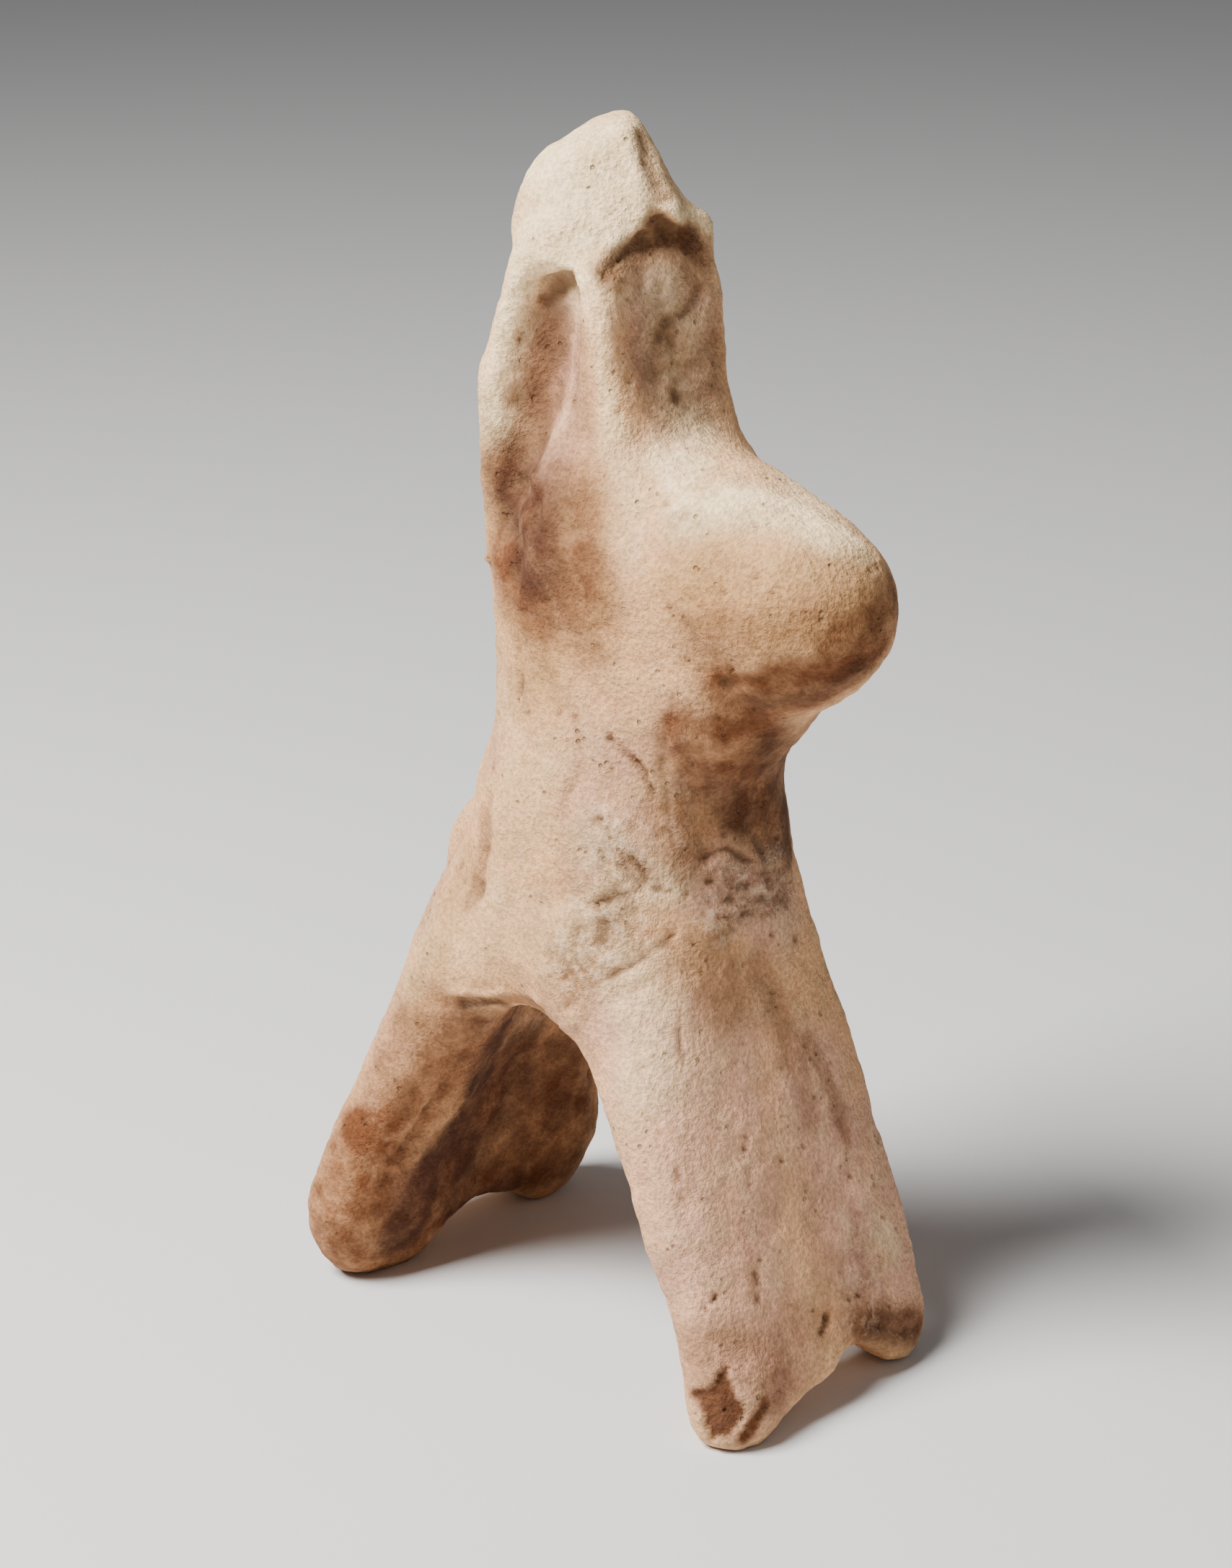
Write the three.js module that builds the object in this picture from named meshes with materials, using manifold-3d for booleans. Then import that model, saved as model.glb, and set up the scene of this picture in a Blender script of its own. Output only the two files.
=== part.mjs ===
// A handmade terracotta horse and rider, one solid lump of fired clay on four worn feet.
// Millimetres. +X is the horse's front, +Y its left and +Z up; the origin is on the ground amid the feet.
// Each part of the figure is a field, negative inside the clay. The fields flow together as wet clay does,
// thumb marks are pressed out of them, and the skin is meshed on a grid that is finer where the forms are.
// Places along the figure are shares of the sizes below, so a change of one size carries the forms with it.

import * as THREE from "three";
import Module from "manifold-3d";

// Driving dimensions
const LEG_HEIGHT = 45; // ground to the belly
const BODY_HEIGHT = 46; // belly to the middle of the horse's head
const RIDER_HEIGHT = 49; // middle of the horse's head to the peak of the rider's
const FRONT_FOOT_X = 28.5; // origin to the middle of the front feet
const REAR_FOOT_X = -31;
const FRONT_FOOT_LENGTH = 10.2;
const REAR_FOOT_LENGTH = 13.6;
const FRONT_WIDTH = 36.8; // over both front feet
const REAR_WIDTH = 44;
const FRONT_NOTCH = 5; // ground to the arch between the front feet
const REAR_NOTCH = 3.5;
const WAIST_LENGTH = 35; // where the horse's body is narrowest
const WAIST_WIDTH = 30;
const HORSE_HEAD_RADIUS = 11.6;
const MUZZLE_REACH = 24.5; // the horse's head in front of the origin
const BACK_WIDTH = 18; // the rider's
const HOOD_WIDTH = 18; // over both ends of the jaw
const ROLL_RADIUS = 2.2; // of the rolls of clay for arms, rims and edges
const TAIL_RADIUS = 4.5;
const FINGERTIP = 9; // width of the maker's finger, which rubs the joints smooth
const LEG_FACETS = 51; // facets up the whole height, if all were as large as those on the legs
const RIDER_FACETS = 71; // the same for the rider's smaller ones

const HEIGHT = LEG_HEIGHT + BODY_HEIGHT + RIDER_HEIGHT;
const HORSE_HEAD_LEVEL = LEG_HEIGHT + BODY_HEIGHT;

// How far two forms run into each other, from a sharp fold to a broad sweep
const CREASE = 0.13 * FINGERTIP;
const SEAM = 0.22 * FINGERTIP;
const ROUNDING = 0.33 * FINGERTIP;
const JOINT = 0.45 * FINGERTIP;
const WELD = 0.67 * FINGERTIP;
const SWEEP = FINGERTIP;

const { lerp, clamp } = THREE.MathUtils;
const vec = (x, y, z) => new THREE.Vector3(x, y, z);

// Heights above the ground, as shares of the legs, the horse's body and the rider
const upLegs = (share) => share * LEG_HEIGHT;
const upBody = (share) => LEG_HEIGHT + share * BODY_HEIGHT;
const upRider = (share) => HORSE_HEAD_LEVEL + share * RIDER_HEIGHT;

// Field tools. A point is a THREE.Vector3, and a field takes a point to a distance in millimetres.

function blendUnion(a, b, softness) {
  const h = Math.max(softness - Math.abs(a - b), 0) / softness;
  return Math.min(a, b) - (h * h * softness) / 4;
}

const blendCut = (a, b, softness) => -blendUnion(-a, b, softness);

// A smooth curve through numbers that stand at increasing heights.
function through(heights, values) {
  const last = heights.length - 1;
  const slopes = values.map((_, i) => {
    const [a, b] = [Math.max(i - 1, 0), Math.min(i + 1, last)];
    return (values[b] - values[a]) / (heights[b] - heights[a]);
  });
  return (z) => {
    if (z <= heights[0]) return values[0];
    if (z >= heights[last]) return values[last];
    const i = heights.findIndex((h) => h > z) - 1;
    const span = heights[i + 1] - heights[i];
    const t = (z - heights[i]) / span;
    const [t2, t3] = [t * t, t * t * t];
    return (
      values[i] * (2 * t3 - 3 * t2 + 1) +
      slopes[i] * span * (t3 - 2 * t2 + t) +
      values[i + 1] * (3 * t2 - 2 * t3) +
      slopes[i + 1] * span * (t3 - t2)
    );
  };
}

// A roll of clay along a smooth line through stations [x, y, z, radius].
function roll(stations) {
  const line = new THREE.CatmullRomCurve3(stations.map(([x, y, z]) => vec(x, y, z)));
  const count = (stations.length - 1) * 3;
  const radiusAt = through(stations.map((_, i) => i * 3), stations.map((s) => s[3]));
  const ends = Array.from({ length: count + 1 }, (_, i) => line.getPoint(i / count));
  const offset = vec(0, 0, 0);
  const bones = ends.slice(1).map((end, i) => {
    const along = end.clone().sub(ends[i]);
    return { start: ends[i], along, length2: along.lengthSq(), r0: radiusAt(i), r1: radiusAt(i + 1) };
  });
  return (p) => {
    let d = Infinity;
    for (const { start, along, length2, r0, r1 } of bones) {
      const t = clamp(offset.subVectors(p, start).dot(along) / length2, 0, 1);
      d = Math.min(d, offset.addScaledVector(along, -t).length() - lerp(r0, r1, t));
    }
    return d;
  };
}

// A pellet, or the print of a thumb: an ellipsoid.
function pellet(centre, half) {
  const c = vec(...centre);
  const r = vec(...half);
  const q = vec(0, 0, 0);
  const g = vec(0, 0, 0);
  const tiny = 1e-6;
  return (p) => {
    q.subVectors(p, c).divide(r);
    const k = q.length();
    if (k < tiny) return -Math.min(r.x, r.y, r.z);
    return (k * (k - 1)) / g.copy(q).divide(r).length();
  };
}

// A column through stations: z, its reach in X (front, back), its widths there, and how square it is.
function column(stations, endSoftness) {
  const heights = stations.map((s) => s.z);
  const along = (key) => through(heights, stations.map((s) => s[key]));
  const [front, back, frontWidth, backWidth, power] =
    ["front", "back", "frontWidth", "backWidth", "power"].map(along);
  const low = heights[0];
  const high = heights[heights.length - 1];
  return (p) => {
    const [f, b, n] = [front(p.z), back(p.z), power(p.z)];
    const halfLength = (f - b) / 2;
    const u = (p.x - (f + b) / 2) / halfLength;
    const share = clamp((u + 1) / 2, 0, 1);
    const halfWidth = lerp(backWidth(p.z), frontWidth(p.z), share) / 2;
    const v = p.y / halfWidth;
    const round = Math.pow(Math.abs(u) ** n + Math.abs(v) ** n, 1 / n);
    const side = (round - 1) * Math.min(halfLength, halfWidth);
    const ends = Math.max(low - p.z, p.z - high);
    return blendCut(side, -ends, endSoftness);
  };
}

// A lump cut to flat faces, each {at, facing}, whose edges are rubbed round.
function block(faces, softness) {
  const planes = faces.map(({ at, facing }) => ({ at, normal: vec(...facing).normalize() }));
  const q = vec(0, 0, 0);
  const off = ({ at, normal }, p) => q.subVectors(p, at).dot(normal);
  return (p) => planes.slice(1).reduce(
    (d, plane) => blendCut(d, -off(plane, p), softness),
    off(planes[0], p),
  );
}

// The figure's own parts.

// Reach in X on the legs goes from 0 at the waist to 1 at the foot, and above it's shares of the half waist.
const HALF_WAIST = WAIST_LENGTH / 2;

const frontLegs = (up, front, back, frontWidth, backWidth, power) => ({
  z: up,
  front: lerp(HALF_WAIST, FRONT_FOOT_X + 0.47 * FRONT_FOOT_LENGTH, front),
  back: lerp(-HALF_WAIST, FRONT_FOOT_X - 0.53 * FRONT_FOOT_LENGTH, back),
  frontWidth: frontWidth * FRONT_WIDTH,
  backWidth: backWidth * FRONT_WIDTH,
  power,
});

const trunk = (up, front, back, frontWidth, backWidth, power) => ({
  z: up,
  front: front * HALF_WAIST,
  back: back * HALF_WAIST,
  frontWidth,
  backWidth,
  power,
});

const waist = (up, front, back, frontWidth, backWidth, power) =>
  trunk(up, front, back, frontWidth * WAIST_WIDTH, backWidth * WAIST_WIDTH, power);

const rider = (up, front, back, frontWidth, backWidth, power) =>
  trunk(up, front, back, frontWidth * BACK_WIDTH, backWidth * BACK_WIDTH, power);

// The front legs are one slab that leans back to the horse's chest, and goes on up as body and rider.
const body = column(
  [
    frontLegs(upLegs(-0.044), 0.905, 1.03, 0.91, 0.91, 2.7),
    frontLegs(upLegs(0.089), 1, 1, 1, 1, 2.8),
    frontLegs(upLegs(0.289), 0.835, 0.93, 0.99, 0.975, 2.7),
    frontLegs(upLegs(0.444), 0.685, 0.825, 0.986, 0.97, 2.7),
    frontLegs(upLegs(0.622), 0.503, 0.722, 0.973, 0.946, 2.7),
    frontLegs(upLegs(0.8), 0.34, 0.584, 0.973, 0.918, 2.7),
    frontLegs(upLegs(0.956), 0.214, 0.456, 0.957, 0.837, 2.5),
    frontLegs(upBody(0.109), 0.138, 0.16, 0.929, 0.788, 2.5),
    frontLegs(upBody(0.283), 0.05, 0.049, 0.865, 0.788, 2.4),
    waist(upBody(0.457), 1, -1, 1, 1, 2.2),
    waist(upBody(0.609), 0.99, -0.909, 0.945, 0.94, 2.2),
    waist(upBody(0.761), 0.94, -0.909, 0.88, 0.883, 2.2),
    rider(upRider(0.082), 0.686, -0.88, 1.222, 1.361, 2.2),
    rider(upRider(0.327), 0.371, -0.8, 0.917, 1.167, 2.6),
    rider(upRider(0.51), 0.257, -0.743, 0.833, 1, 3),
    rider(upRider(0.694), 0.229, -0.663, 0.778, 0.833, 3),
    rider(upRider(0.878), 0.171, -0.629, 0.611, 0.667, 2.5),
  ],
  JOINT,
);

const rearLegs = (up, front, back, frontWidth, backWidth, power) => ({
  z: up,
  front: lerp(0.114 * HALF_WAIST, REAR_FOOT_X + 0.515 * REAR_FOOT_LENGTH, front),
  back: lerp(-0.8 * HALF_WAIST, REAR_FOOT_X - 0.485 * REAR_FOOT_LENGTH, back),
  frontWidth: frontWidth * REAR_WIDTH,
  backWidth: backWidth * REAR_WIDTH,
  power,
});

// The rear legs are a wider slab, hollowed on the side that faces the front legs.
const rearSlab = column(
  [
    rearLegs(upLegs(-0.044), 1.162, 0.864, 0.837, 0.826, 2.7),
    rearLegs(upLegs(0.156), 1, 1, 1.012, 0.977, 3),
    rearLegs(upLegs(0.333), 0.935, 0.932, 0.965, 0.93, 3),
    rearLegs(upLegs(0.467), 0.869, 0.839, 0.895, 0.895, 3),
    rearLegs(upLegs(0.6), 0.75, 0.725, 0.826, 0.837, 3),
    rearLegs(upLegs(0.844), 0.462, 0.538, 0.767, 0.779, 3),
    rearLegs(upLegs(1.022), 0.192, 0.475, 0.721, 0.721, 2.8),
    rearLegs(upBody(0.196), 0, 0.347, 0.605, 0.628, 2.6),
    rearLegs(upBody(0.413), 0, 0, 0.512, 0.512, 2.4),
  ],
  JOINT,
);

const rearHollow = roll(
  [
    [0.432, 0.044, 0.326],
    [0.29, 0.4, 0.326],
    [0.048, 0.711, 0.326],
    [-0.194, 0.933, 0.279],
  ].map(([x, up, radius]) => [x * REAR_FOOT_X, 0.047 * REAR_WIDTH, upLegs(up), radius * REAR_WIDTH]),
);

// Clay drawn across between the two pairs of legs, along each side of the belly.
const bellyEdges = [-1, 1].map((side) =>
  roll(
    [
      [-0.743, 0.333, 1.022, 1.73],
      [-0.229, 0.353, 0.996, 1.82],
      [0.229, 0.4, 1.018, 1.91],
    ].map(([x, y, up, r]) => [x * HALF_WAIST, side * y * WAIST_WIDTH, upLegs(up), r * ROLL_RADIUS]),
  ),
);

const frontToe = pellet(
  [FRONT_FOOT_X + 0.108 * FRONT_FOOT_LENGTH, -0.37 * FRONT_WIDTH, upLegs(0.089)],
  [0.392 * FRONT_FOOT_LENGTH, 0.125 * FRONT_WIDTH, upLegs(0.12)],
);

// Each arch is as long as both legs are thick, starts below the ground and is pressed up between the feet.
const arch = (footX, footLength, y, halfWidth, height) =>
  pellet([footX, y, -0.4 * FRONT_NOTCH], [1.5 * footLength, halfWidth, height]);

const arches = [
  arch(FRONT_FOOT_X, FRONT_FOOT_LENGTH, 0, 0.258 * FRONT_WIDTH, FRONT_NOTCH),
  arch(FRONT_FOOT_X, FRONT_FOOT_LENGTH, 0.103 * FRONT_WIDTH, 0.158 * FRONT_WIDTH, 1.4 * FRONT_NOTCH),
  arch(REAR_FOOT_X, REAR_FOOT_LENGTH, 0.047 * REAR_WIDTH, 0.222 * REAR_WIDTH, 1.6 * REAR_NOTCH),
];

const horseHead = roll(
  [
    [0, 0.259, 1.034],
    [0.551, 0.129, 1.103],
    [0.93, 0, 0.965],
    [1.07, 0.06, 0.81],
  ].map(([reach, up, radius]) => [
    reach * MUZZLE_REACH,
    0,
    HORSE_HEAD_LEVEL + up * HORSE_HEAD_RADIUS,
    radius * HORSE_HEAD_RADIUS,
  ]),
);

const throat = pellet(
  [0.612 * MUZZLE_REACH, 0, HORSE_HEAD_LEVEL - 0.948 * HORSE_HEAD_RADIUS],
  [0.517 * HORSE_HEAD_RADIUS, 0.733 * HORSE_HEAD_RADIUS, 0.474 * HORSE_HEAD_RADIUS],
);

// A roll on the rider: X as a share of the half waist, Y of the back's width, height and radius.
const riderRoll = (stations) =>
  roll(stations.map(([x, y, up, r]) => [x * HALF_WAIST, y * BACK_WIDTH, upRider(up), r * ROLL_RADIUS]));

const onBothSides = (stations) =>
  [-1, 1].map((side) => riderRoll(stations.map(([x, y, up, r]) => [x, side * y, up, r])));

// The raised rims that run from the rider's hood down both edges of the back.
const backRims = onBothSides([
  [-0.229, 0.411, 0.776, 0.91],
  [-0.423, 0.467, 0.684, 1.05],
  [-0.585, 0.472, 0.551, 0.95],
  [-0.686, 0.5, 0.408, 0.95],
  [-0.697, 0.506, 0.204, 0.86],
  [-0.663, 0.5, 0.02, 0.73],
]);

const flankGrooves = onBothSides([
  [-0.171, 0.544, 0.633, 1.45],
  [-0.286, 0.589, 0.449, 1.82],
  [-0.377, 0.644, 0.245, 2.05],
  [-0.389, 0.711, 0.122, 2.14],
  [-0.286, 0.889, 0, 2],
]);

// The rider's arms, in low relief from the two ends of the jaw down to the horse's neck.
const arms = [
  riderRoll([
    [0.137, -0.422, 0.684, 0.77],
    [0.171, -0.394, 0.531, 0.91],
    [0.229, -0.372, 0.367, 1.14],
    [0.297, -0.344, 0.163, 1.55],
  ]),
  riderRoll([
    [0.131, 0.4, 0.745, 0.82],
    [0.166, 0.406, 0.612, 0.86],
    [0.2, 0.394, 0.449, 1],
    [0.286, 0.344, 0.163, 1.55],
  ]),
];

// A place on the hood: X and Y as shares of its width, and a share of the rider's height.
const onHood = (x, y, up) => vec(x * HOOD_WIDTH, y * HOOD_WIDTH, upRider(up));

// The rider's hooded head: a block of clay pinched to a ridge in front and a peak on top.
const hood = block(
  [
    { at: onHood(0.067, -0.094, 0.939), facing: [0.652, -0.659, 0.375] }, // right cheek
    { at: onHood(0.028, 0.028, 0.988), facing: [0.624, 0.617, 0.479] }, // left cheek
    { at: onHood(-0.233, -0.228, 0.963), facing: [-0.323, -0.319, 0.891] }, // crown
    { at: onHood(-0.167, -0.544, 0.735), facing: [-0.15, -1, 0.3] }, // right side
    { at: onHood(-0.555, -0.55, 0.796), facing: [-0.711, -0.703, 0] }, // behind the right cheek
    { at: onHood(-0.644, 0, 0.796), facing: [-1, 0.1, 0.15] }, // nape
    { at: onHood(0, 0.456, 0.796), facing: [-0.15, 1, 0.25] }, // left side
    { at: onHood(0, 0, 0.551), facing: [0, 0, -1] },
  ],
  0.28 * FINGERTIP,
);

// The hollow under the hood, between the two ends of the jaw.
const underHood = block(
  [
    { at: onHood(0.194, -0.417, 0.684), facing: [0.08, -0.64, 0.77] },
    { at: onHood(0.156, 0.478, 0.735), facing: [0.05, 0.32, 0.95] },
  ],
  SEAM,
);

const leftJaw = roll(
  [
    [0.022, 0.222, 0.796, 0.59],
    [0.15, 0.461, 0.763, 0.68],
  ].map(([x, y, up, r]) => [...onHood(x, y, up), r * ROLL_RADIUS]),
);

const tail = roll(
  [
    [0.516, upBody(0.304), 0.98],
    [0.725, upBody(0.21), 1.02],
    [0.83, upBody(0.045), 0.86],
    [0.852, upLegs(0.844), 0.49],
    [0.887, upLegs(0.711), 0.18],
  ].map(([x, z, radius]) => [x * REAR_FOOT_X, 0, z, radius * TAIL_RADIUS]),
);

function clay(p) {
  let d = body(p);
  for (const groove of flankGrooves) d = blendCut(d, groove(p), SEAM);
  d = blendUnion(d, horseHead(p), SWEEP);
  d = blendUnion(d, throat(p), SWEEP);
  for (const arm of arms) d = blendUnion(d, arm(p), JOINT);
  for (const rim of backRims) d = blendUnion(d, rim(p), CREASE);
  d = blendUnion(d, blendCut(hood(p), underHood(p), CREASE), CREASE);
  d = blendUnion(d, leftJaw(p), CREASE);
  d = blendUnion(d, blendCut(rearSlab(p), rearHollow(p), JOINT), WELD);
  for (const edge of bellyEdges) d = blendUnion(d, edge(p), WELD);
  d = blendUnion(d, frontToe(p), SEAM);
  for (const hollow of arches) d = blendCut(d, hollow(p), ROUNDING);
  return blendUnion(d, tail(p), CREASE);
}

// Meshing: one vertex in each grid cell that the skin crosses, and a quad round each crossed grid edge.

function gridLines(low, high, stepAt) {
  const lines = [low];
  while (lines[lines.length - 1] < high) {
    const here = lines[lines.length - 1];
    lines.push(here + stepAt(here));
  }
  return lines;
}

// Where clay meets clay only across a corner of a grid face, fills the emptier corner with a film of clay.
function fillSaddles(value, node, [nx, ny, nz]) {
  const film = -1e-3;
  let filled = true;
  while (filled) {
    filled = false;
    for (let k = 0; k < nz - 1; k++)
      for (let j = 0; j < ny - 1; j++)
        for (let i = 0; i < nx - 1; i++) {
          const [x, y, z] = [node(i + 1, j, k), node(i, j + 1, k), node(i, j, k + 1)];
          const faces = [
            [x, y, node(i + 1, j + 1, k)],
            [x, z, node(i + 1, j, k + 1)],
            [y, z, node(i, j + 1, k + 1)],
          ];
          const here = node(i, j, k);
          for (const [a, b, across] of faces) {
            const inside = value[here] < 0;
            if (value[across] < 0 !== inside) continue;
            if (value[a] < 0 === inside || value[b] < 0 === inside) continue;
            const outer = inside ? [a, b] : [here, across];
            value[value[outer[0]] < value[outer[1]] ? outer[0] : outer[1]] = film;
            filled = true;
          }
        }
  }
}

function skin(field, xs, ys, zs) {
  const [nx, ny, nz] = [xs.length, ys.length, zs.length];
  const node = (i, j, k) => (k * ny + j) * nx + i;
  const value = new Float64Array(nx * ny * nz);
  const p = vec(0, 0, 0);
  for (let k = 0; k < nz; k++)
    for (let j = 0; j < ny; j++)
      for (let i = 0; i < nx; i++) value[node(i, j, k)] = field(p.set(xs[i], ys[j], zs[k]));

  fillSaddles(value, node, [nx, ny, nz]);

  const vertexOf = new Map();
  const points = [];
  const cellVertex = (i, j, k) => {
    const key = node(i, j, k);
    if (vertexOf.has(key)) return vertexOf.get(key);
    const sum = vec(0, 0, 0);
    let crossings = 0;
    const corner = (c) => [i + (c & 1), j + ((c >> 1) & 1), k + ((c >> 2) & 1)];
    for (let c = 0; c < 8; c++)
      for (const bit of [1, 2, 4]) {
        if (c & bit) continue;
        const [a, b] = [corner(c), corner(c | bit)];
        const [va, vb] = [value[node(...a)], value[node(...b)]];
        if (va < 0 === vb < 0) continue;
        const t = va / (va - vb);
        sum.add(vec(
          lerp(xs[a[0]], xs[b[0]], t),
          lerp(ys[a[1]], ys[b[1]], t),
          lerp(zs[a[2]], zs[b[2]], t),
        ));
        crossings++;
      }
    points.push(sum.divideScalar(crossings));
    vertexOf.set(key, points.length - 1);
    return points.length - 1;
  };

  const quads = [];
  for (let k = 1; k < nz - 1; k++)
    for (let j = 1; j < ny - 1; j++)
      for (let i = 1; i < nx - 1; i++) {
        const inside = value[node(i, j, k)] < 0;
        const rounds = [
          [[i + 1, j, k], [[i, j - 1, k - 1], [i, j, k - 1], [i, j, k], [i, j - 1, k]]],
          [[i, j + 1, k], [[i - 1, j, k - 1], [i - 1, j, k], [i, j, k], [i, j, k - 1]]],
          [[i, j, k + 1], [[i - 1, j - 1, k], [i, j - 1, k], [i, j, k], [i - 1, j, k]]],
        ];
        for (const [next, cells] of rounds) {
          if (value[node(...next)] < 0 === inside) continue;
          const quad = cells.map((c) => cellVertex(...c));
          quads.push(inside ? quad : quad.reverse());
        }
      }
  return { points, quads };
}

// Slides the vertices until they are evenly spread, and puts each back on the skin.
function settle({ points, quads }, field, rounds) {
  const neighbours = points.map(() => new Set());
  for (const quad of quads)
    quad.forEach((a, i) => {
      const b = quad[(i + 1) % 4];
      neighbours[a].add(b);
      neighbours[b].add(a);
    });
  const reach = 0.02;
  const slope = (p) => {
    const d = (axis) => {
      const q = p.clone();
      q[axis] += reach;
      const up = field(q);
      q[axis] -= 2 * reach;
      return (up - field(q)) / (2 * reach);
    };
    return vec(d("x"), d("y"), d("z"));
  };
  const ontoSkin = (p) => {
    const g = slope(p);
    const off = clamp(field(p) / Math.max(g.lengthSq(), 0.2), -1, 1);
    return p.addScaledVector(g, -off);
  };
  for (let round = 0; round < rounds; round++) {
    const moved = points.map((p, i) => {
      const mean = vec(0, 0, 0);
      neighbours[i].forEach((n) => mean.add(points[n]));
      mean.divideScalar(neighbours[i].size);
      return ontoSkin(p.clone().lerp(mean, 0.5));
    });
    moved.forEach((p, i) => points[i].copy(p));
  }
  return { points, quads };
}

// Splits each quad along its shorter diagonal, unless two other corners are joined there already.
function toTriangles({ points, quads }) {
  const joined = new Set();
  const edge = (a, b) => (a < b ? `${a} ${b}` : `${b} ${a}`);
  for (const quad of quads) quad.forEach((a, i) => joined.add(edge(a, quad[(i + 1) % 4])));
  const triangles = [];
  for (const [a, b, c, d] of quads) {
    const shorter = points[a].distanceToSquared(points[c]) < points[b].distanceToSquared(points[d]);
    const alongAC = shorter ? !joined.has(edge(a, c)) : joined.has(edge(b, d));
    joined.add(alongAC ? edge(a, c) : edge(b, d));
    triangles.push(...(alongAC ? [a, b, c, a, c, d] : [a, b, d, b, c, d]));
  }
  return triangles;
}

const wasm = await Module();
wasm.setup();

function toSolid(positions, triangles) {
  return new wasm.Manifold(
    new wasm.Mesh({
      numProp: 3,
      vertProperties: new Float32Array(positions),
      triVerts: new Uint32Array(triangles),
    }),
  );
}

// Wears the feet flat where the figure stands.
function standOnGround(solid) {
  const depth = 10;
  const ground = new THREE.BoxGeometry(4 * REAR_WIDTH, 4 * REAR_WIDTH, depth);
  ground.translate(0, 0, -depth / 2);
  const corners = ground.attributes.position;
  const merged = new Map();
  const unique = [];
  const ids = Array.from({ length: corners.count }, (_, i) => {
    const point = [corners.getX(i), corners.getY(i), corners.getZ(i)];
    const key = point.join();
    if (!merged.has(key)) merged.set(key, unique.push(point) - 1);
    return merged.get(key);
  });
  const box = toSolid(unique.flat(), Array.from(ground.index.array, (i) => ids[i]));
  return solid.subtract(box);
}

function figureGeometry() {
  const margin = WELD;
  const coarse = HEIGHT / LEG_FACETS;
  const fine = HEIGHT / RIDER_FACETS;
  const sideStep = (x) => (x > -0.8 * HALF_WAIST && x < 0.46 * HALF_WAIST ? fine : coarse);
  const acrossStep = (y) => (Math.abs(y) < 0.56 * HOOD_WIDTH ? fine : coarse);
  const upStep = (z) => {
    if (z > upRider(0.53)) return 0.85 * fine;
    return z > upBody(0.457) ? 1.15 * fine : coarse;
  };
  const muzzle = 1.1 * MUZZLE_REACH + HORSE_HEAD_RADIUS;
  const front = Math.max(FRONT_FOOT_X + FRONT_FOOT_LENGTH, muzzle) + margin;
  const rear = REAR_FOOT_X - REAR_FOOT_LENGTH / 2 - margin;
  const halfWidth = Math.max(FRONT_WIDTH, REAR_WIDTH) / 2 + margin;
  const xs = gridLines(rear, front, sideStep);
  const ys = gridLines(-halfWidth, halfWidth, acrossStep);
  const zs = gridLines(-margin, HEIGHT + margin, upStep);
  const settlingRounds = 4;
  const mesh = settle(skin(clay, xs, ys, zs), clay, settlingRounds);
  const solid = toSolid(mesh.points.flatMap((p) => p.toArray()), toTriangles(mesh));
  const { vertProperties, triVerts } = standOnGround(solid).getMesh();
  const geometry = new THREE.BufferGeometry();
  geometry.setAttribute("position", new THREE.BufferAttribute(vertProperties, 3));
  geometry.setIndex(new THREE.BufferAttribute(triVerts, 1));
  geometry.computeBoundingBox();
  const middle = geometry.boundingBox.getCenter(vec(0, 0, 0));
  geometry.translate(-middle.x, -middle.y, 0);
  geometry.computeVertexNormals();
  return geometry;
}

const terracotta = new THREE.MeshStandardMaterial({ color: 0xc49a7a, roughness: 0.95, metalness: 0 });

const figure = new THREE.Mesh(figureGeometry(), terracotta);
figure.name = "horse_and_rider";

const group = new THREE.Group();
group.add(figure);

export default group;
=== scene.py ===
import math
import random

import bpy
import numpy as np
from mathutils import Matrix, Vector, noise
from mathutils.bvhtree import BVHTree


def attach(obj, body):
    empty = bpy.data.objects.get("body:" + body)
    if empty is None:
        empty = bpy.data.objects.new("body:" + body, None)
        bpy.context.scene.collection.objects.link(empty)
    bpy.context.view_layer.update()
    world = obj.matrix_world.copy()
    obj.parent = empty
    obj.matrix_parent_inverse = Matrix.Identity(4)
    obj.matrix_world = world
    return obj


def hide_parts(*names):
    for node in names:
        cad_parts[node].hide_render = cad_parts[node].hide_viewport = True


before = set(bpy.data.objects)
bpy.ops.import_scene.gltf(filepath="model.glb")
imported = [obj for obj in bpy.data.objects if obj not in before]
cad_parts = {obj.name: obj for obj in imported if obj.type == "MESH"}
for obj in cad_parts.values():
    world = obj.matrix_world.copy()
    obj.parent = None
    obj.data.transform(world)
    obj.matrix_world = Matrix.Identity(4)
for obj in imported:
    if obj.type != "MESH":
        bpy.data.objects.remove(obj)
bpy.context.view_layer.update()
mm = 0.001
print("frame loaded")

# Camera, at the viewing angle of the photograph

cameraSet = {
    "azimuth": 44.7,
    "elevation": 19.3,
    "distance": 402 * mm,
    "lookAt": (8.3 * mm, -10.2 * mm, 70 * mm),
    "lens": 85,
    "sensor": 36,
    "clipStart": 0.01,
    "photoSize": (1708, 2174),
}


def cameraAxes():
    turn = math.radians(cameraSet["azimuth"])
    tip = math.radians(cameraSet["elevation"])
    across, upwards = math.cos(tip), math.sin(tip)
    back = Vector((math.sin(turn) * across, -math.cos(turn) * across, upwards))
    right = Vector((math.cos(turn), math.sin(turn), 0))
    return right, back.cross(right), back


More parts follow.
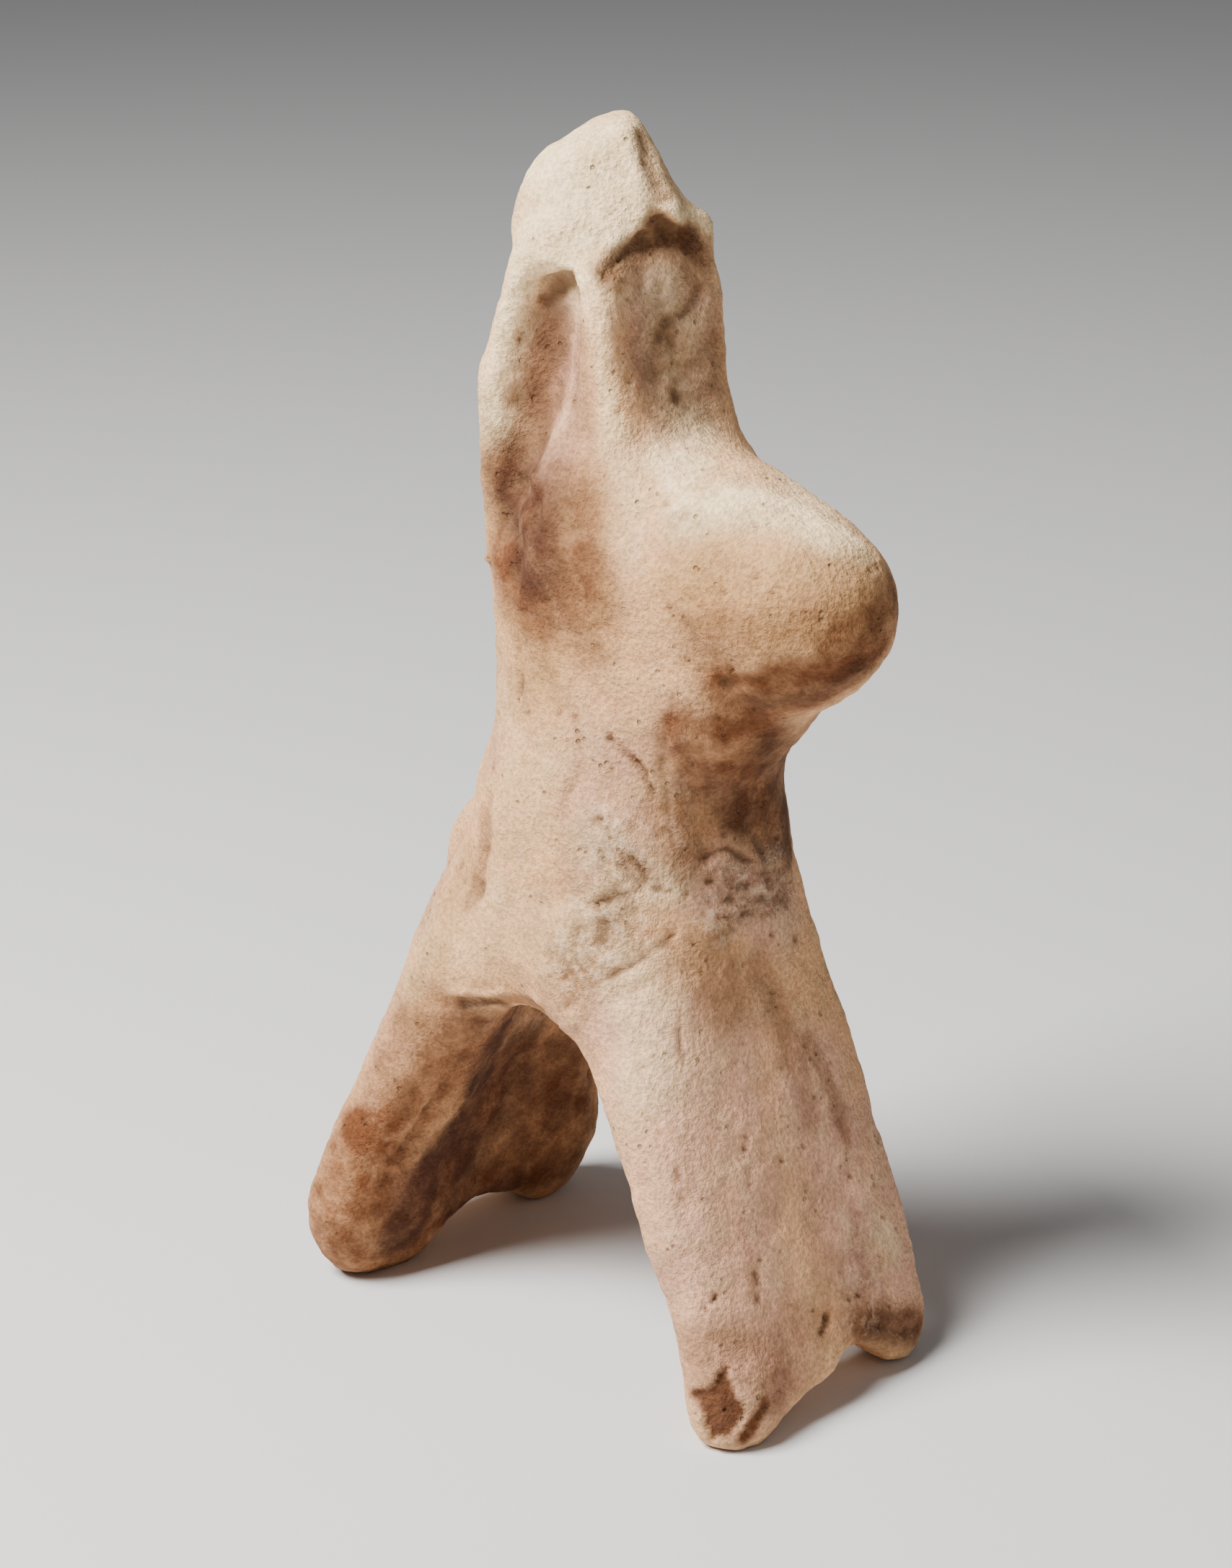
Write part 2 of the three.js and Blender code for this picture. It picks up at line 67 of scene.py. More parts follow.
def addCamera():
    right, up, back = cameraAxes()
    bpy.ops.object.camera_add()
    camera = bpy.context.object
    camera.name = "photoCamera"
    camera.data.lens = cameraSet["lens"]
    camera.data.sensor_fit = "VERTICAL"
    camera.data.sensor_height = cameraSet["sensor"]
    camera.data.clip_start = cameraSet["clipStart"]
    turned = Matrix((right, up, back)).transposed().to_4x4()
    camera.matrix_world = Matrix.Translation(cameraPlace()) @ turned
    bpy.context.scene.camera = camera


def cameraPlace():
    return Vector(cameraSet["lookAt"]) + cameraAxes()[2] * cameraSet["distance"]


addCamera()
print("camera set")

# The figure: a merged copy of the CAD solid, remeshed evenly so that relief can be worked in

figureSet = {
    "mergeWithin": 0.001 * mm,
    "voxel": 0.53 * mm,
    "smoothFactor": 0.5,
    "smoothing": 5,
    "seed": 11,
}


def pickOnly(piece):
    bpy.ops.object.select_all(action="DESELECT")
    piece.select_set(True)
    bpy.context.view_layer.objects.active = piece


def applyModifier(piece, kind, **settings):
    modifier = piece.modifiers.new(kind.lower(), kind)
    for key, value in settings.items():
        setattr(modifier, key, value)
    pickOnly(piece)
    bpy.ops.object.modifier_apply(modifier=modifier.name)


def copyNode(nodeName, pieceName):
    piece = bpy.data.objects.new(pieceName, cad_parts[nodeName].data.copy())
    bpy.context.scene.collection.objects.link(piece)
    piece.data.materials.clear()
    pickOnly(piece)
    bpy.ops.object.mode_set(mode="EDIT")
    bpy.ops.mesh.select_all(action="SELECT")
    bpy.ops.mesh.remove_doubles(threshold=figureSet["mergeWithin"])
    bpy.ops.object.mode_set(mode="OBJECT")
    return piece


figure = copyNode("horse_and_rider", "clayFigure")
applyModifier(figure, "REMESH", mode="VOXEL", voxel_size=figureSet["voxel"],
              use_smooth_shade=True)
applyModifier(figure, "SMOOTH", factor=figureSet["smoothFactor"],
              iterations=figureSet["smoothing"])
print("figure remeshed:", len(figure.data.vertices), "points")


def readVectors(piece, key):
    flat = np.empty(len(piece.data.vertices) * 3, np.float32)
    piece.data.vertices.foreach_get(key, flat)
    return flat.reshape(-1, 3).astype(float)


def writePoints(piece, points):
    piece.data.vertices.foreach_set("co", points.astype(np.float32).ravel())
    piece.data.update()


def neighbourMean(piece, values, rounds):
    # each round takes half of a point's value from the points joined to it
    edges = np.empty(len(piece.data.edges) * 2, np.int32)
    piece.data.edges.foreach_get("vertices", edges)
    a, b = edges.reshape(-1, 2).T
    count = np.bincount(a, minlength=len(values)) + np.bincount(b, minlength=len(values))
    columns = values.reshape(len(values), -1)
    for _ in range(rounds):
        total = np.stack([
            np.bincount(a, column[b], len(values)) + np.bincount(b, column[a], len(values))
            for column in columns.T
        ], axis=1)
        columns = 0.5 * columns + 0.5 * total / count[:, None]
    return columns.reshape(values.shape)


tree = BVHTree.FromObject(figure, bpy.context.evaluated_depsgraph_get())


def photoMeasures():
    # middle of the photograph and its focal length, in pixels
    width, height = cameraSet["photoSize"]
    return width / 2, height / 2, height * cameraSet["lens"] / cameraSet["sensor"]


def spotOn(x, y):
    # the place on the figure that is seen at this pixel of the photograph
    right, up, back = cameraAxes()
    middleX, middleY, focal = photoMeasures()
    ray = right * (x - middleX) - up * (y - middleY) - back * focal
    return tree.ray_cast(cameraPlace(), ray.normalized())[0]


def strokeDistance(points, path):
    # distance from every point to a line drawn through the path
    nearest = np.full(len(points), 1e9)
    for start, end in zip(path, path[1:] if len(path) > 1 else path):
        a, along = np.array(start), np.array(end) - np.array(start)
        t = np.clip((points - a) @ along / max(along @ along, 1e-12), 0, 1)
        nearest = np.minimum(nearest, np.linalg.norm(points - a - t[:, None] * along, axis=1))
    return nearest


def falloff(distance, radius):
    t = np.clip(1 - distance / radius, 0, 1)
    return t * t * (3 - 2 * t)


def pathOn(pixels):
    spots = [spotOn(x, y) for x, y in pixels]
    return [spot for spot in spots if spot is not None]


def mirrored(path):
    return [Vector((spot.x, -spot.y, spot.z)) for spot in path]


# Relief, as strokes of the tool: pixels of the photograph, radius and depth in mm (raised
# when negative), and whether the far side has the same

reliefStrokes = [
    # head: the turn of the brow, the hollows under the jaw
    ([(893, 195), (905, 235), (925, 270)], 1.4, 0.5, False),
    ([(868, 185), (880, 235), (890, 290)], 1.3, -0.4, False),
    ([(745, 330), (770, 350), (790, 358)], 1.6, 0.35, False),
    ([(790, 385), (775, 400), (755, 418)], 1.2, 0.5, True),
    ([(838, 382), (865, 362), (895, 335)], 1.4, 0.9, False),
    ([(915, 305), (925, 320)], 1.4, 0.9, False),
    ([(945, 318), (965, 325)], 1.4, 0.3, False),
    ([(955, 292), (980, 300)], 1.0, -0.35, False),
    # rider's trunk: flank hollow, arm, the flat front
    ([(775, 440), (765, 520), (748, 610)], 3.0, 0.5, True),
    ([(735, 540), (728, 600), (728, 650)], 2.6, 0.5, True),
    ([(802, 410), (800, 480), (790, 560)], 1.2, 0.3, True),
    ([(835, 430), (840, 520), (860, 620), (870, 700)], 2.2, -0.3, True),
    ([(885, 420), (905, 500), (920, 560)], 2.6, -0.3, False),
    ([(935, 380), (945, 440), (955, 520)], 4.2, -0.75, False),
    ([(965, 395), (935, 430), (912, 462)], 1.3, 0.3, False),
    ([(975, 420), (945, 480), (915, 545)], 1.6, -0.3, False),
    ([(982, 478), (960, 512), (935, 545)], 1.6, 0.22, False),
    ([(900, 480), (905, 540), (930, 575)], 1.4, 0.12, False),
    # flank below the hollow
    ([(698, 632), (720, 650), (742, 662)], 0.6, -0.45, True),
    ([(715, 672), (738, 690), (740, 720)], 1.6, 0.6, True),
    ([(705, 730), (725, 760), (712, 800)], 1.7, 0.5, True),
    ([(672, 752), (680, 775)], 0.9, -0.6, False),
    ([(760, 740), (800, 735)], 1.2, 0.3, False),
    ([(800, 880), (830, 870), (848, 858)], 0.6, 0.15, True),
    ([(795, 895), (815, 905), (830, 900)], 0.6, 0.12, True),
    ([(718, 890), (725, 925), (722, 960)], 0.7, 0.35, True),
    ([(735, 880), (742, 930)], 0.7, -0.3, True),
    ([(705, 835), (760, 870), (800, 880)], 0.8, 0.3, True),
    # horse's head
    ([(1000, 695), (1080, 700), (1170, 735)], 1.8, -0.3, False),
    ([(925, 740), (955, 715), (985, 735)], 1.5, 0.3, True),
    ([(950, 865), (975, 915), (1000, 948)], 1.1, 0.2, False),
    ([(960, 855), (1000, 900), (1040, 925)], 1.6, -0.3, False),
    ([(1005, 950), (1080, 938), (1150, 935), (1195, 905)], 1.3, 0.35, False),
    ([(1010, 965), (1060, 1000), (1080, 1040)], 2.4, 0.4, False),
    # body: cracks and eroded places
    ([(850, 1022), (872, 1050), (900, 1075), (906, 1105)], 0.45, 0.6, False),
    ([(925, 1000), (915, 1060), (925, 1120), (935, 1170)], 0.8, 0.25, False),
    ([(800, 1000), (805, 1060), (780, 1130)], 0.9, 0.25, True),
    ([(880, 1190), (900, 1222), (870, 1240), (825, 1255)], 0.5, 0.4, False),
    ([(825, 1255), (835, 1280), (800, 1290), (795, 1320), (810, 1345)], 0.5, 0.3, False),
    ([(845, 1235), (850, 1275), (830, 1310)], 1.4, 0.45, False),
    ([(905, 1235), (930, 1238)], 0.5, 0.5, False),
    ([(775, 1402), (815, 1368), (870, 1338), (900, 1325), (935, 1295)], 0.5, 0.3, False),
    ([(780, 1425), (850, 1372), (930, 1330)], 1.1, -0.3, False),
    ([(770, 1320), (775, 1360), (795, 1345)], 0.7, 0.3, False),
    ([(1000, 1248), (1040, 1240), (1085, 1248)], 0.4, 0.35, False),
    ([(975, 1275), (1020, 1270), (1070, 1262)], 0.4, 0.25, False),
    ([(1040, 1140), (1060, 1180), (1065, 1220)], 0.9, 0.6, False),
    ([(980, 1190), (1010, 1180), (1040, 1195)], 0.8, 0.5, False),
    ([(680, 1112), (676, 1180), (664, 1240)], 1.3, 0.35, False),
    ([(690, 1120), (700, 1190), (690, 1250)], 1.2, -0.3, False),
    ([(630, 1375), (690, 1378), (745, 1388)], 0.9, -0.4, True),
    # legs
    ([(625, 1495), (590, 1540), (560, 1592)], 0.6, 0.5, True),
    ([(560, 1592), (535, 1640), (520, 1690)], 0.8, 0.35, True),
    ([(650, 1510), (600, 1560), (575, 1600)], 0.9, -0.35, True),
    ([(720, 1470), (700, 1540), (660, 1620)], 2.0, 0.35, False),
    ([(945, 1400), (950, 1480)], 0.4, 0.3, False),
    ([(938, 1620), (945, 1660), (952, 1700)], 0.4, 0.4, False),
    ([(1036, 1565), (1034, 1620), (1042, 1650)], 0.4, 0.35, False),
    ([(1047, 1765), (1049, 1800)], 0.4, 0.6, False),
    ([(1150, 1822), (1143, 1850)], 0.55, 0.8, False),
    ([(1060, 1360), (1085, 1420), (1100, 1470)], 0.9, 0.1, False),
    ([(1148, 1480), (1158, 1530), (1168, 1575)], 0.7, 0.12, False),
    ([(1205, 1838), (1240, 1848), (1275, 1845)], 0.8, 0.45, False),
    ([(1062, 1945), (1048, 1970), (1032, 1996)], 0.6, 0.8, False),
]

# single pits: pixel, radius and depth in mm
reliefPits = [
    (992, 1797, 0.6, 0.9), (998, 1862, 0.35, 0.4), (1180, 1800, 0.4, 0.4), (1010, 1700, 0.4, 0.3),
    (1003, 652, 0.5, 0.5), (1050, 800, 0.35, 0.5), (1072, 822, 0.35, 0.5), (1035, 788, 0.5, 0.35),
    (925, 843, 0.35, 0.4), (850, 440, 0.35, 0.5), (793, 458, 0.35, 0.5), (797, 468, 0.3, 0.4),
    (893, 222, 0.4, 0.4), (868, 240, 0.4, 0.3), (813, 598, 0.35, 0.4), (780, 720, 0.5, 0.4),
    (985, 1225, 0.5, 0.6), (1033, 1455, 0.3, 0.4), (925, 1375, 0.3, 0.4), (1118, 1402, 0.4, 0.3),
    (640, 1200, 0.5, 0.5), (672, 1190, 0.5, -0.4), (1020, 1100, 0.5, 0.5), (1060, 1110, 0.6, 0.6),
    (1075, 1160, 0.6, 0.5), (1005, 1160, 0.5, 0.5), (950, 1240, 0.5, 0.4), (1105, 1300, 0.6, 0.5),
]

chipSet = {
    "outline": [
        (1008, 1892), (1014, 1922), (1034, 1960), (1012, 1992),
        (984, 1996), (970, 1960), (954, 1930), (985, 1924),
    ],
    "depth": 0.75,
    "reach": 8,  # mm from the outline's first corners, so that the far legs stay whole
    "ragged": 0.55,  # how much of the strokes' wander its edge has
}

surfaceSet = {
    "lumps": (0.35, 13),  # height and size in mm of the unevenness left by the hands
    "dents": (0.2, 4.2),
    "crumbs": (0.13, 1.25),
    "pits": 420,
    "pitRadius": (0.25, 0.7),
    "pitDepth": (0.12, 0.4),
    "wander": ((0.5, 3.6), (0.25, 1.2)),  # how far and how often a stroke strays, in mm
    "thinStroke": 1.2,  # thinner strokes than this are uneven in depth
    "uneven": (0.8, 2.6),  # by how much, and over how many mm
    "unevenLimits": (0.4, 1.4),
    "unevenShift": 5,
    "strokeEdge": 1.25,  # how far a soft edge reaches, in radii
    "pitEdge": 1.3,
    "rubble": 2.5,  # size in mm of the rubble in the eroded places
    "rubbleNoise": (0.7, 2.1, 4),
    "noiseShift": 17,
    "grounded": 1.5,  # mm above the ground over which the relief fades out
}

# eroded places, rough all over: pixels, radius in mm and height in mm
erodedPlaces = [
    ([(850, 1170), (860, 1290), (790, 1330)], 4.8, 0.36, False),
    ([(1070, 1215), (1000, 1270)], 3.8, 0.34, True),
    ([(930, 420), (930, 560)], 5.0, 0.16, True),
    ([(1190, 1700), (1200, 1820)], 4.0, 0.2, False),
    ([(660, 1400), (740, 1410)], 2.5, 0.1, True),
    ([(942, 1040), (938, 1160)], 1.8, 0.1, False),
]


def unevenness(points, height, size, shift):
    scale = 1 / (size * mm)
    offset = Vector((shift, 2 * shift, 3 * shift))
    return np.array([noise.noise(Vector(p) * scale + offset) for p in points]) * height


def randomPits(points, rng):
    depth = np.zeros(len(points))
    for _ in range(surfaceSet["pits"]):
        centre = points[rng.randrange(len(points))]
        radius = rng.uniform(*surfaceSet["pitRadius"]) * mm
        near = np.linalg.norm(points - centre, axis=1)
        depth = np.maximum(depth, rng.uniform(*surfaceSet["pitDepth"]) * falloff(near, radius))
    return depth


def strayed(points):
    noise.seed_set(figureSet["seed"])  # vector noise is shifted by chance otherwise
    moved = points.copy()
    for reach, size in surfaceSet["wander"]:
        scale = 1 / (size * mm)
        moved += np.array([noise.noise_vector(Vector(p) * scale) for p in points]) * reach * mm
    return moved


def seenAt(points):
    # pixel of the photograph at which each point of the figure would be seen
    right, up, back = (np.array(axis) for axis in cameraAxes())
    middleX, middleY, focal = photoMeasures()
    ray = points - np.array(cameraPlace())
    away = -(ray @ back)
    return middleX + focal * (ray @ right) / away, middleY - focal * (ray @ up) / away


def chippedArea(points):
    x, y = seenAt(points)
    inside = np.zeros(len(points), bool)
    corners = chipSet["outline"]
    for (x0, y0), (x1, y1) in zip(corners, corners[1:] + corners[:1]):
        crosses = (y0 > y) != (y1 > y)
        rise = y1 - y0 if y1 != y0 else 1
        inside ^= crosses & (x < x0 + (x1 - x0) * (y - y0) / rise)
    near = strokeDistance(points, pathOn(corners[:3])) < chipSet["reach"] * mm
    return (inside & near).astype(float)


def bothSidesOf(pixels, bothSides):
    path = pathOn(pixels)
    return [path, mirrored(path)] if bothSides else [path]


def softStroke(points, path, reach):
    # 1 along the path, fading to 0 at this many mm from it
    return falloff(strokeDistance(points, path), reach * mm)


def rubbleOn(points):
    scale = 1 / (surfaceSet["rubble"] * mm)
    settings = surfaceSet["rubbleNoise"]
    return np.array([noise.fractal(Vector(p) * scale, *settings) for p in points])


def carveFigure(piece):
    points, normals = readVectors(piece, "co"), readVectors(piece, "normal")
    rng = random.Random(figureSet["seed"])
    stray = strayed(points)
    uneven = 1 + unevenness(points, *surfaceSet["uneven"], surfaceSet["unevenShift"])
    uneven = np.clip(uneven, *surfaceSet["unevenLimits"])
    depth = np.zeros(len(points))
    for pixels, radius, deep, bothSides in reliefStrokes:
        for path in bothSidesOf(pixels, bothSides):
            along = uneven if radius < surfaceSet["thinStroke"] else 1
            depth += deep * along * softStroke(stray, path, radius * surfaceSet["strokeEdge"])
    for x, y, radius, deep in reliefPits:
        depth += deep * softStroke(stray, pathOn([(x, y)]), radius * surfaceSet["pitEdge"])
    rubble = rubbleOn(points)
    for pixels, radius, height, bothSides in erodedPlaces:
        for path in bothSidesOf(pixels, bothSides):
            depth += height * rubble * softStroke(stray, path, radius * surfaceSet["pitEdge"])
    ragged = chipSet["ragged"]
    chip = neighbourMean(piece, chippedArea(stray * ragged + points * (1 - ragged)), 1)
    depth += chipSet["depth"] * chip
    for count, key in enumerate(["lumps", "dents", "crumbs"], 1):
        depth -= unevenness(points, *surfaceSet[key], surfaceSet["noiseShift"] * count)
    depth += randomPits(points, rng)
    aboveGround = np.clip(points[:, 2] / (surfaceSet["grounded"] * mm), 0, 1)
    points -= normals * (depth * aboveGround)[:, None] * mm
    points[:, 2] = np.maximum(points[:, 2], 0)
    writePoints(piece, points)
    return chip, stray


chipMask, strayPoints = carveFigure(figure)
print("relief carved")

# Finish masks, kept on the figure's own points. Each stroke: pixels of the photograph, radius
# in mm, strength, and whether the far side has it too, more weakly

paintStrokes = {
    # brown stains, and painted shade under the hood, on the head's right side, under the horse's
    # head and inside the rear legs
    "stainAndShade": [
        # under the hood and on the rider's trunk: painted shadow under the hood and jaw, painted
        # shade on the head's right side, and stains on the trunk
        ([(845, 378), (880, 355), (905, 330)], 1.6, 0.8, False),
        ([(785, 388), (765, 408)], 0.6, 0.35, False),
        ([(800, 470), (805, 540), (795, 640)], 2.4, 0.5, True),
        ([(870, 440), (890, 540), (905, 600)], 2.4, 0.15, False),
        ([(912, 318), (950, 335), (975, 355)], 1.6, 0.8, False),
        ([(888, 190), (900, 225), (918, 262)], 1.1, 0.55, False),
        ([(935, 345), (965, 380)], 1.8, 0.4, False),
        ([(990, 480), (980, 530), (960, 560)], 1.6, 0.3, False),
        ([(960, 400), (930, 445), (910, 475)], 1.2, 0.2, False),
        ([(752, 450), (745, 510), (728, 570), (722, 620)], 1.0, 0.35, True),
        ([(768, 470), (762, 540), (745, 620)], 2.9, 0.75, True),
        # flank
        ([(720, 665), (735, 700), (745, 750)], 3.4, 1.0, True),
        ([(705, 760), (725, 800), (740, 840)], 3.8, 0.95, True),
        ([(770, 690), (785, 760), (800, 820)], 5.6, 0.72, True),
        ([(710, 820), (770, 860), (810, 885)], 3.4, 0.55, True),
        ([(820, 830), (850, 800)], 2.5, 0.3, False),
        # horse's head: painted shade along its lower edge, and stains there and on the muzzle
        ([(1170, 890), (1215, 872), (1243, 840)], 3.0, 0.85, False),
        ([(1240, 815), (1235, 850)], 1.6, 0.7, False),
        ([(1010, 960), (1100, 950), (1180, 930), (1215, 890)], 3.4, 0.9, False),
        ([(1000, 885), (1060, 905), (1130, 900)], 4.6, 0.42, False),
        ([(1060, 985), (1130, 965)], 3.2, 0.8, False),
        # chest below the head: painted shadow under the horse's head, and stains
        ([(1030, 1000), (1040, 1060), (1060, 1120)], 4.2, 0.9, True),
        ([(950, 1010), (960, 1080), (960, 1150), (965, 1200)], 2.8, 0.7, False),
        ([(1010, 1120), (1060, 1145), (1080, 1160)], 2.4, 0.8, True),
        ([(905, 1110), (925, 1170)], 1.2, 0.4, False),
        ([(1080, 1060), (1088, 1150)], 3.2, 0.8, True),
        # front legs
        ([(985, 1325), (1015, 1390)], 3.2, 0.45, False),
        ([(1050, 1335), (1075, 1400), (1105, 1470)], 1.9, 0.5, False),
        ([(1120, 1440), (1155, 1520), (1170, 1580)], 1.2, 0.5, False),
        ([(1110, 1480), (1125, 1560)], 1.3, 0.3, False),
        ([(1130, 1640), (1140, 1720), (1150, 1800)], 2.2, 0.3, False),
        ([(1200, 1840), (1275, 1840)], 2.4, 0.8, False),
        ([(1080, 1850), (1150, 1835)], 3.0, 0.35, False),
        ([(980, 1880), (1050, 1890), (1070, 1910)], 3.8, 0.55, False),
        ([(1062, 1945), (1048, 1970), (1032, 1996)], 0.9, 0.9, False),
        ([(1060, 1880), (1110, 1900)], 3.0, 0.25, False),
        ([(1030, 1700), (1045, 1800)], 0.7, 0.3, False),
        # rear legs: painted shade on the inner faces and under the belly, and stains
        ([(625, 1392), (690, 1388), (748, 1400)], 1.3, 0.7, True),
        ([(690, 1430), (600, 1500), (530, 1600), (490, 1690)], 4.8, 0.85, True),
        ([(500, 1580), (455, 1680), (480, 1760), (560, 1740)], 4.6, 0.95, True),
        ([(640, 1430), (560, 1540), (500, 1640)], 4.2, 0.75, True),
        ([(800, 1230), (830, 1280), (800, 1340)], 2.6, 0.3, False),
        ([(870, 1195), (905, 1222)], 1.2, 0.55, False),
        ([(700, 1480), (660, 1560), (600, 1660)], 5.5, 1.0, True),
        ([(760, 1480), (780, 1580), (720, 1620)], 6.5, 0.85, False),
        ([(550, 1700), (640, 1660), (700, 1640)], 3.5, 0.9, True),
        ([(560, 1430), (620, 1400), (690, 1420)], 3.0, 0.6, True),
        ([(560, 1460), (515, 1550)], 3.6, 0.6, True),
        ([(672, 1130), (668, 1200), (655, 1250)], 1.1, 0.5, False),
    ],
    # cream slip, and painted highlights: the top of the head, the rim, the nub, the front panel
    # and the top of the horse's head
    "slipAndHighlight": [
        ([(780, 220), (830, 240), (800, 320), (760, 340)], 6.5, 1.0, True),
        ([(860, 180), (840, 250)], 4.0, 0.7, False),
        ([(750, 350), (715, 415), (700, 500), (685, 590)], 2.2, 1.0, True),
        ([(945, 288), (985, 302)], 1.6, 1.0, False),
        ([(915, 420), (935, 500), (950, 590)], 3.4, 0.6, False),
        ([(835, 430), (835, 520), (850, 600)], 0.9, 0.35, True),
        ([(915, 635), (955, 645), (940, 665)], 2.0, 0.8, False),
        ([(960, 712), (1040, 700), (1110, 715), (1170, 750)], 2.6, 1.0, True),
        ([(860, 620), (870, 700), (860, 780)], 2.2, 0.3, False),
        ([(700, 980), (740, 1060), (720, 1150)], 4.0, 0.25, True),
        ([(640, 1300), (700, 1270), (750, 1300)], 4.0, 0.3, True),
        ([(830, 1180), (850, 1230), (810, 1300)], 3.5, 0.45, False),
        ([(900, 1230), (950, 1220)], 1.8, 0.6, False),
        ([(860, 1350), (900, 1420), (900, 1500)], 3.5, 0.45, False),
        ([(600, 1300), (560, 1400)], 1.8, 0.5, True),
        ([(1220, 1700), (1240, 1730)], 1.5, 0.5, False),
    ],
    "ochre": [
        ([(980, 820), (1060, 830), (1160, 830)], 6.0, 1.0, False),
        ([(950, 800), (980, 900)], 4.0, 0.6, False),
        ([(800, 740), (810, 850)], 4.6, 0.8, True),
        ([(640, 1120), (650, 1200), (610, 1300), (570, 1400)], 2.6, 0.8, True),
        ([(680, 620), (685, 700), (680, 760)], 2.0, 0.6, True),
        ([(980, 1330), (1010, 1380)], 3.6, 0.6, False),
        ([(720, 850), (750, 880), (740, 950)], 5.0, 0.9, True),
        ([(832, 358), (852, 388)], 1.6, 0.7, False),
        ([(700, 940), (770, 1050), (740, 1150)], 7.0, 0.35, True),
        ([(640, 1310), (760, 1335)], 5.0, 0.4, True),
        ([(830, 1000), (850, 1100)], 6.0, 0.3, True),
        ([(930, 480), (920, 560)], 2.6, 0.5, False),
    ],
    # painted shade, very dark: inside the rear legs, under the belly, under the hood and under the
    # horse's head; also the darkest stains on the flank and the foot
    "umberShadeAndStain": [
        ([(690, 1440), (650, 1540), (600, 1620), (560, 1710)], 3.8, 0.95, True),
        ([(650, 1590), (640, 1660)], 3.6, 0.9, True),
        ([(720, 1440), (700, 1560), (640, 1650)], 4.4, 0.7, True),
        ([(760, 1460), (770, 1540), (740, 1600)], 5.0, 0.5, False),
        ([(620, 1700), (700, 1640)], 3.0, 0.8, False),
        ([(1050, 975), (1120, 968), (1190, 930)], 1.6, 0.6, False),
        ([(1075, 1030), (1085, 1100), (1090, 1170)], 2.6, 0.65, True),
        ([(1000, 1100), (1050, 1150), (1090, 1170)], 2.6, 0.5, False),
        ([(722, 675), (740, 715), (738, 775)], 4.8, 0.85, True),
        ([(790, 740), (800, 790)], 3.0, 0.25, True),
        ([(772, 450), (767, 540), (745, 620)], 2.4, 0.24, True),
        ([(640, 1420), (660, 1460)], 3.0, 0.35, True),
        ([(840, 382), (870, 362)], 1.2, 0.3, False),
        ([(912, 318), (950, 335)], 1.5, 0.35, False),
        ([(645, 1393), (700, 1392), (750, 1404)], 0.7, 0.7, True),
        ([(1215, 1850), (1270, 1850)], 1.8, 0.6, False),
    ],
    "pink": [
        ([(980, 1450), (1000, 1700), (1030, 1850)], 8.0, 0.8, False),
        ([(880, 1450), (930, 1650)], 6.0, 0.6, False),
        ([(1130, 1500), (1180, 1700)], 6.0, 0.9, False),
        ([(1150, 1330), (1215, 1560), (1260, 1780)], 5.0, 0.9, False),
        ([(830, 1050), (850, 1150)], 5.0, 0.6, True),
        ([(1000, 1230), (1085, 1265)], 4.0, 0.9, False),
        ([(900, 420), (930, 560)], 4.0, 0.8, True),
        ([(775, 430), (770, 620)], 4.0, 0.9, True),
    ],
}

paintSet = {
    "farShare": 0.5,  # how strongly a stroke is repeated on the far side
    "edge": 1.9,  # how far a stroke fades out, in radii
    "fullness": 1.35,
    "patches": ((0.14, 5, 0), (0.14, 1.8, 3)),  # strength, size in mm and shift of the noise
    "patchBase": 0.95,
    "patchMost": 1.4,
    "noiseShift": (31, 10),
    "upFacingHighlight": 0.32,  # painted top light: slip colour on faces that look up, on the upper body
    "upFacingHighlightTilt": 0.25,
    "upFacingHighlightAbove": 60 * mm,
    "hollowRounds": (24, 2),  # rounds of the mean, and of softening afterwards
    "hollowGain": 4,
    "crackRounds": (5, 1),
    "crackGain": 10,
    "crackFloor": 0.35,
    "chipGain": 1.5,
    "flakeEdge": 1.5,
    "flakeHeight": 0.4,  # height in mm of the rubble that flakes most
}


def storeMask(piece, name, values):
    mask = piece.data.attributes.new(name, "FLOAT", "POINT")
    mask.data.foreach_set("value", np.clip(values, 0, 1).astype(np.float32))


def paintMask(points, strokes, shift):
    mask = np.zeros(len(points))
    for pixels, radius, strength, bothSides in strokes:
        for path, share in zip(bothSidesOf(pixels, bothSides), (1, paintSet["farShare"])):
            near = softStroke(strayPoints, path, radius * paintSet["edge"])
            full = np.minimum(near * paintSet["fullness"], 1)
            mask = np.maximum(mask, share * strength * full)
    patches = sum(unevenness(points, height, size, shift + more)
                  for height, size, more in paintSet["patches"])
    return mask * np.clip(paintSet["patchBase"] + patches, 0, paintSet["patchMost"])


def hollowness(piece, points, normals, rounds, softening):
    # how far a point lies inside the mean of its surroundings, in mm
    around = neighbourMean(piece, points, rounds)
    inside = np.einsum("ij,ij->i", around - points, normals) / mm
    return neighbourMean(piece, inside, softening)


def flakedMask(points):
    mask = np.zeros(len(points))
    for pixels, radius, height, bothSides in erodedPlaces:
        for path in bothSidesOf(pixels, bothSides):
            near = softStroke(strayPoints, path, radius * paintSet["flakeEdge"])
            mask = np.maximum(mask, near * height / paintSet["flakeHeight"])
    return mask


